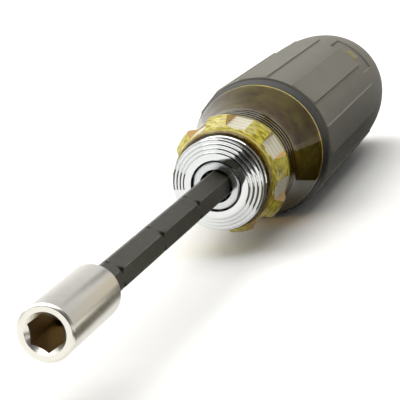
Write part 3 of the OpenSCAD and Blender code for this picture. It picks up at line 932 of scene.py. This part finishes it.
def grip_radius(station, body, angle, marked):
    """Radius of the sleeve at a station and an angle from the middle of a panel."""
    if station < GRIP.panel - 0.05:
        return body
    panel_end = PANEL.short_end if marked else PANEL.end
    panel_share = (station - GRIP.panel) / (PANEL.end - GRIP.panel)
    face = GRIP.front_radius + PANEL.rise - PANEL.drop * panel_share
    side = abs(sin(angle)) * face / cos(angle)
    raised = 1 - smooth_step(side, PANEL.width / 2, EDGE_BLUR)
    raised *= smooth_step(station, GRIP.panel + 0.2, 0.2)
    raised *= 1 - smooth_step(station, panel_end, EDGE_BLUR)
    radius = body + raised * max(0.0, face / cos(angle) - body)
    if marked:
        across = radians(RECESS.half_span)
        sunk = 1 - smooth_step(abs(angle), across, EDGE_BLUR / GRIP.rear_radius)
        sunk *= smooth_step(station, PANEL.short_end, EDGE_BLUR)
        sunk *= 1 - smooth_step(station, RECESS.end, EDGE_BLUR)
        radius += sunk * (min(RECESS.floor, radius) - radius)
    return radius


def grip_sector(name, marked):
    """One sector of the sleeve, outside and lining, which both end on the axis."""
    columns = grip_columns()
    rows = []
    for station, body in grip_outline() + rear_outline():
        radii = [grip_radius(station, body, angle, marked) for angle in columns]
        rows.append([round_point(station, r, angle, 0) for r, angle in zip(radii, columns)])
    lining_end = GRIP.end - GRIP.wall + LINING_GAP
    rows += [[in_frame(GRIP.end, 0, 0, 0)], [in_frame(lining_end, 0, 0, 0)]]
    rows += turned_rows(reversed(dome(GRIP.inside, lining_end)), columns, 0)
    return skin(name, rows, around=False, closed=True)


def cushion_grip():
    """Whole sleeve, with the marked sectors on two opposite sides."""
    plain = grip_sector("cushion_grip_moulded", False)
    marked = grip_sector("marked_sector", True)
    whole = all_round(plain, PANEL.count, 0, VINYL, marked, RECESS.every, RECESS.first)
    return tidy_mesh(whole, 40)


grip = dress(cushion_grip(), "handle", "grip_rubber", ["cushion_grip"], VINYL, LIP_VINYL)
# Lip faces take the darker vinyl with its painted shade.
for face in grip.data.polygons:
    face.material_index = int((face.center.x - TIP_X) / MM < GRIP.lip_end + 0.1)

# %% [markdown]
# ## The amber windows
# Two small bosses of the core fill the openings in the recesses, flush with their floors. Each is a block
# with rounded edges. It is so low that it needs no curve of its own.


# %% Windows
def amber_windows():
    """Two rounded bosses, one on each marked side."""
    mesh = bmesh.new()
    middle = TIP_X + (WINDOW.at + WINDOW.length / 2) * MM
    size = Vector((WINDOW.length, WINDOW.width, WINDOW.height)) * MM
    for place in (RECESS.first, RECESS.first + RECESS.every):
        block = bmesh.ops.create_cube(mesh, size=1.0)["verts"]
        bmesh.ops.scale(mesh, vec=size, verts=block)
        bmesh.ops.translate(mesh, vec=(0, 0, (RECESS.floor - WINDOW.sunk) * MM), verts=block)
        turned = Euler((TAU * place / PANEL.count, 0, 0)).to_matrix()
        bmesh.ops.rotate(mesh, cent=(0, 0, 0), matrix=turned, verts=block)
        bmesh.ops.translate(mesh, vec=(middle, 0, AXIS_Z), verts=block)
    edges = mesh.edges[:]
    bmesh.ops.bevel(mesh, geom=edges, offset=WINDOW.edge * MM, segments=3, profile=0.5, affect="EDGES")
    return tidy_mesh(as_object("amber_windows", mesh), 40)


dress(amber_windows(), "handle", "amber_acetate", [], WINDOW_FACE)

# %% [markdown]
# ## The return spring
# A helix of wire in the chamber of the sleeve. A second node tree draws it: a spiral curve with the turns
# and the height as inputs, swept with a round profile.

# %% Return spring
SPRING = Sizes(start=114.01, end=119.58, turns=3.5, radius=6.45, wire=0.6)


def coil_tree():
    """Node tree of a coil along X, with its sizes as inputs."""
    tree, add, given = new_tree("wire_coil", {
        "Turns": "Float", "Radius": "Float", "Length": "Float", "Wire": "Float", "Start": "Vector",
        "Finish": "Material"}, "Coil")
    helix = add("CurveSpiral", {
        "Resolution": 32, "Rotations": given["Turns"], "Start Radius": given["Radius"],
        "End Radius": given["Radius"], "Height": given["Length"]})
    round_wire = add("CurvePrimitiveCircle", {"Resolution": 10, "Radius": given["Wire"]})
    wire = add("CurveToMesh", {"Curve": helix, "Profile Curve": round_wire, "Fill Caps": True})
    laid = add("Transform", {"Geometry": wire, "Rotation": (0, pi / 2, 0), "Translation": given["Start"]})
    whole = add("RealizeInstances", {0: laid})
    painted = add("SetMaterial", {"Geometry": whole, "Material": given["Finish"]})
    add("NodeGroupOutput", {0: painted})
    return tree


SPRING_STEEL = turned_steel("spring_steel", "#8c8d8f", 0.25, 0.4)
spring_length, wire_half = SPRING.end - SPRING.start, SPRING.wire / 2
spring = skin("collar_spring_wound", [[in_frame(SPRING.start, 0, 0)]])
spring = grown(spring, coil_tree(), {
    "Turns": SPRING.turns, "Radius": SPRING.radius * MM, "Wire": wire_half * MM,
    "Length": (spring_length - SPRING.wire) * MM,
    "Start": in_frame(SPRING.start + wire_half, 0, 0), "Finish": SPRING_STEEL})
dress(tidy_mesh(spring, 50), "handle", "spring_steel", ["collar_spring"], SPRING_STEEL)
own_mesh(spring)

# %% [markdown]
# ## Finishes of the solids that stay
# The magnet, the chuck and the small pieces inside the collar have the right shape already. They only need
# the right steel.

# %% Solids that stay
KEPT = [
    (turned_steel("bright_turned_steel", "#c9cbcd", 0.12, 0.22),
        ["chuck_body", "spring_washer", "cam_sleeve", "spring_keeper"]),
    (turned_steel("polished_ball_steel", "#dcdee0", 0.04, 0.08),
        ["detent_ball_1", "detent_ball_2", "detent_ball_3"]),
    (turned_steel("sintered_magnet", "#a5977c", 0.35, 0.5), ["socket_magnet"]),
    (SPRING_STEEL, ["retaining_ring"]),
]
for material, names in KEPT:
    for name in names:
        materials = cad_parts[name].data.materials
        materials.clear()
        materials.append(material)
print("solids kept:", sum(len(names) for _, names in KEPT))

# %% [markdown]
# ## Floor and light
# The tool lies on a pale sheet without an edge, under a broad soft light from above and a weaker one from
# the left. Metal shows nothing but what is around it. So the room is a white tent behind the tool and on
# its left, dim on the right and dark towards the camera.

# %% Floor, surroundings and lights
FLOOR_SIDE = 12.0


def studio_floor():
    """A wide pale sheet of paper under the tool."""
    material, add, place = new_material("paper_sweep")
    fibre = add("TexNoise", {"Vector": place, "Scale": per_size(4.0), "Detail": 3.0})
    colour = add("Mix", {MIX_FACTOR: fibre, MIX_A: "#f3f3f2", MIX_B: "#f6f6f5"}, data_type="RGBA")
    shader = add("BsdfPrincipled", {"Base Color": colour, "Roughness": 0.9})
    add("OutputMaterial", {"Surface": shader})
    half = FLOOR_SIDE / 2
    corners = [[Vector((x, y, 0)) for x in (-half, half)] for y in (-half, half)]
    floor = skin("paper_sweep", corners, around=False)
    floor.data.materials.append(material)


def surroundings():
    """A white tent that is open towards the camera and dims overhead and on the right."""
    world = bpy.data.worlds.new("light_tent")
    scene.world = world
    world.use_nodes = True
    world.node_tree.nodes.clear()
    add = partial(add_node, world.node_tree)
    direction = add("TexCoord").outputs["Generated"]
    along = add("SeparateXYZ", {0: direction}).outputs
    back = add("MapRange", {"Value": along["X"], "From Min": -0.7, "From Max": -0.3})
    left = add("MapRange", {"Value": along["Y"], "From Min": 0.15, "From Max": 0.22})
    bright = add("Math", {0: back, 1: left}, operation="MAXIMUM")
    colour = add("Mix", {MIX_FACTOR: bright, MIX_A: "#1c1b1a", MIX_B: "#ffffff"}, data_type="RGBA")
    overhead = add("MapRange", {
        "Value": along["Z"], "From Min": 0.15, "From Max": 0.7, "To Min": 1.0, "To Max": 0.5})
    right = add("MapRange", {
        "Value": along["Y"], "From Min": -0.75, "From Max": -0.3, "To Min": 0.35, "To Max": 1.0})
    dimmed = add("Math", {0: overhead, 1: right}, operation="MULTIPLY")
    glow = add("Background", {"Color": colour, "Strength": dimmed})
    add("OutputWorld", {0: glow})


def broad_light(name, towards, spread, strength, colour):
    """A far, broad light along a direction, with an even glow over the floor."""
    data = bpy.data.lights.new(name, "SUN")
    data.angle = radians(spread)
    data.energy = strength
    data.color = hex_colour(colour)[:3]
    light = bpy.data.objects.new(name, data)
    scene.collection.objects.link(light)
    light.rotation_euler = Vector(towards).to_track_quat("-Z", "Y").to_euler()


studio_floor()
surroundings()
broad_light("left_light", (-0.2, -0.6, -0.78), 60, 1.0, "#fffdf8")
broad_light("overhead_light", (-0.05, 0.0, -1.0), 70, 2.2, "#fffefb")
scene.view_settings.view_transform = "Standard"
print("floor side in m:", FLOOR_SIDE, "lights:", len(bpy.data.lights))

# %% [markdown]
# ## Cards that the metal mirrors
# A photographer puts cards round polished metal to draw lines in it. A dark curtain behind the camera gives
# the collar its black, and a beige card behind the tool gives the socket its band. Cloths lie and stand
# beside the tool. Three dark cloths beside the blade and the grip are painted shadow: reflections show them
# where the tool's shadow on the floor would be. The camera sees none of them and they cast no shadow, but
# two cloths also keep the floor's light off the right side of the tool.


# %% Cards
def show_in_reflections(name, material, rows):
    """A card on the stage, over two rows of points, that only reflections show."""
    piece = skin(name, rows, around=False)
    piece.data.materials.append(material)
    piece.visible_camera = piece.visible_diffuse = piece.visible_shadow = False
    return piece


def glowing_card(name, heading, height, away, width, tall, colour, glow):
    """An upright card that faces the tool, at a heading from +X and a height in degrees."""
    material, add, _ = new_material(name)
    light = add("Emission", {"Color": colour, "Strength": glow})
    add("OutputMaterial", {"Surface": light})
    heading, height, up = radians(heading), radians(height), Vector((0, 0, 1))
    side = Vector((-sin(heading), cos(heading), 0))
    centre = (Vector((side.y, -side.x, 0)) * cos(height) + up * sin(height)) * away
    show_in_reflections(name, material, [
        [centre + side * width / 2 * s + up * tall / 2 * u for s in (-1, 1)] for u in (-1, 1)])


def cloth_card(name, colour, near, far, shades):
    """A cloth between two edges in millimetres, clear from behind. If it shades, it dims matt surfaces."""
    material, add, _ = new_material(name)
    cloth = add("BsdfDiffuse", {"Color": colour})
    clear = add("BsdfTransparent")
    behind = add("NewGeometry").outputs["Backfacing"]
    surface = add("MixShader", {0: behind, 1: cloth, 2: clear})
    add("OutputMaterial", {"Surface": surface})
    piece = show_in_reflections(name, material, [[Vector(p) * MM for p in edge] for edge in (far, near)])
    piece.visible_transmission = False
    piece.visible_diffuse = shades


BLACK = "#0a0a09"
CLOTHS = {
    # Painted shadow: a dark cloth on the floor beside the blade, which the socket mirrors as the tool's
    # shadow.
    "blade_side_card": (
        "#5e5b50", [(-95, -12.5, 1), (21, -12.5, 1)], [(-95, -52, 1), (21, -52, 1)], True),
    "left_card": (BLACK, [(-33, 82, 0), (-81, 49, 0)], [(-33, 82, 26), (-81, 49, 26)], False),
    "front_mat": (BLACK, [(-95, -18, 1), (-95, -52, 1)], [(-330, -115, 1), (-330, -185, 1)], False),
    # Painted shadow: a dark cloth on the floor beside the grip, which also keeps the floor's light off its
    # right side.
    "grip_side_card": ("#080706", [(22, -19, 1), (130, -19, 1)], [(22, -75, 1), (130, -75, 1)], True),
    "far_mat": ("#b5afa2", [(22, -75, 1), (2500, -75, 1)], [(22, -3000, 1), (2500, -3000, 1)], False),
    # Painted shadow: an upright dark cloth beside the grip, which the cone mirrors as the grip's shadow on
    # the floor.
    "upright_card": (BLACK, [(30, -36, 0), (95, -24, 0)], [(30, -36, 16), (95, -24, 16)], False),
}
glowing_card("dark_curtain", 193, 24, 0.9, 0.73, 0.75, "#050505", 0.0)
glowing_card("grey_strip", -8.5, 21, 0.9, 0.12, 0.35, "#8c8a84", 0.5)
glowing_card("beige_card", -21, 6, 0.9, 0.31, 0.34, "#dfd5bd", 1.0)
for name, values in CLOTHS.items():
    cloth_card(name, *values)
print("cloth cards:", len(CLOTHS))
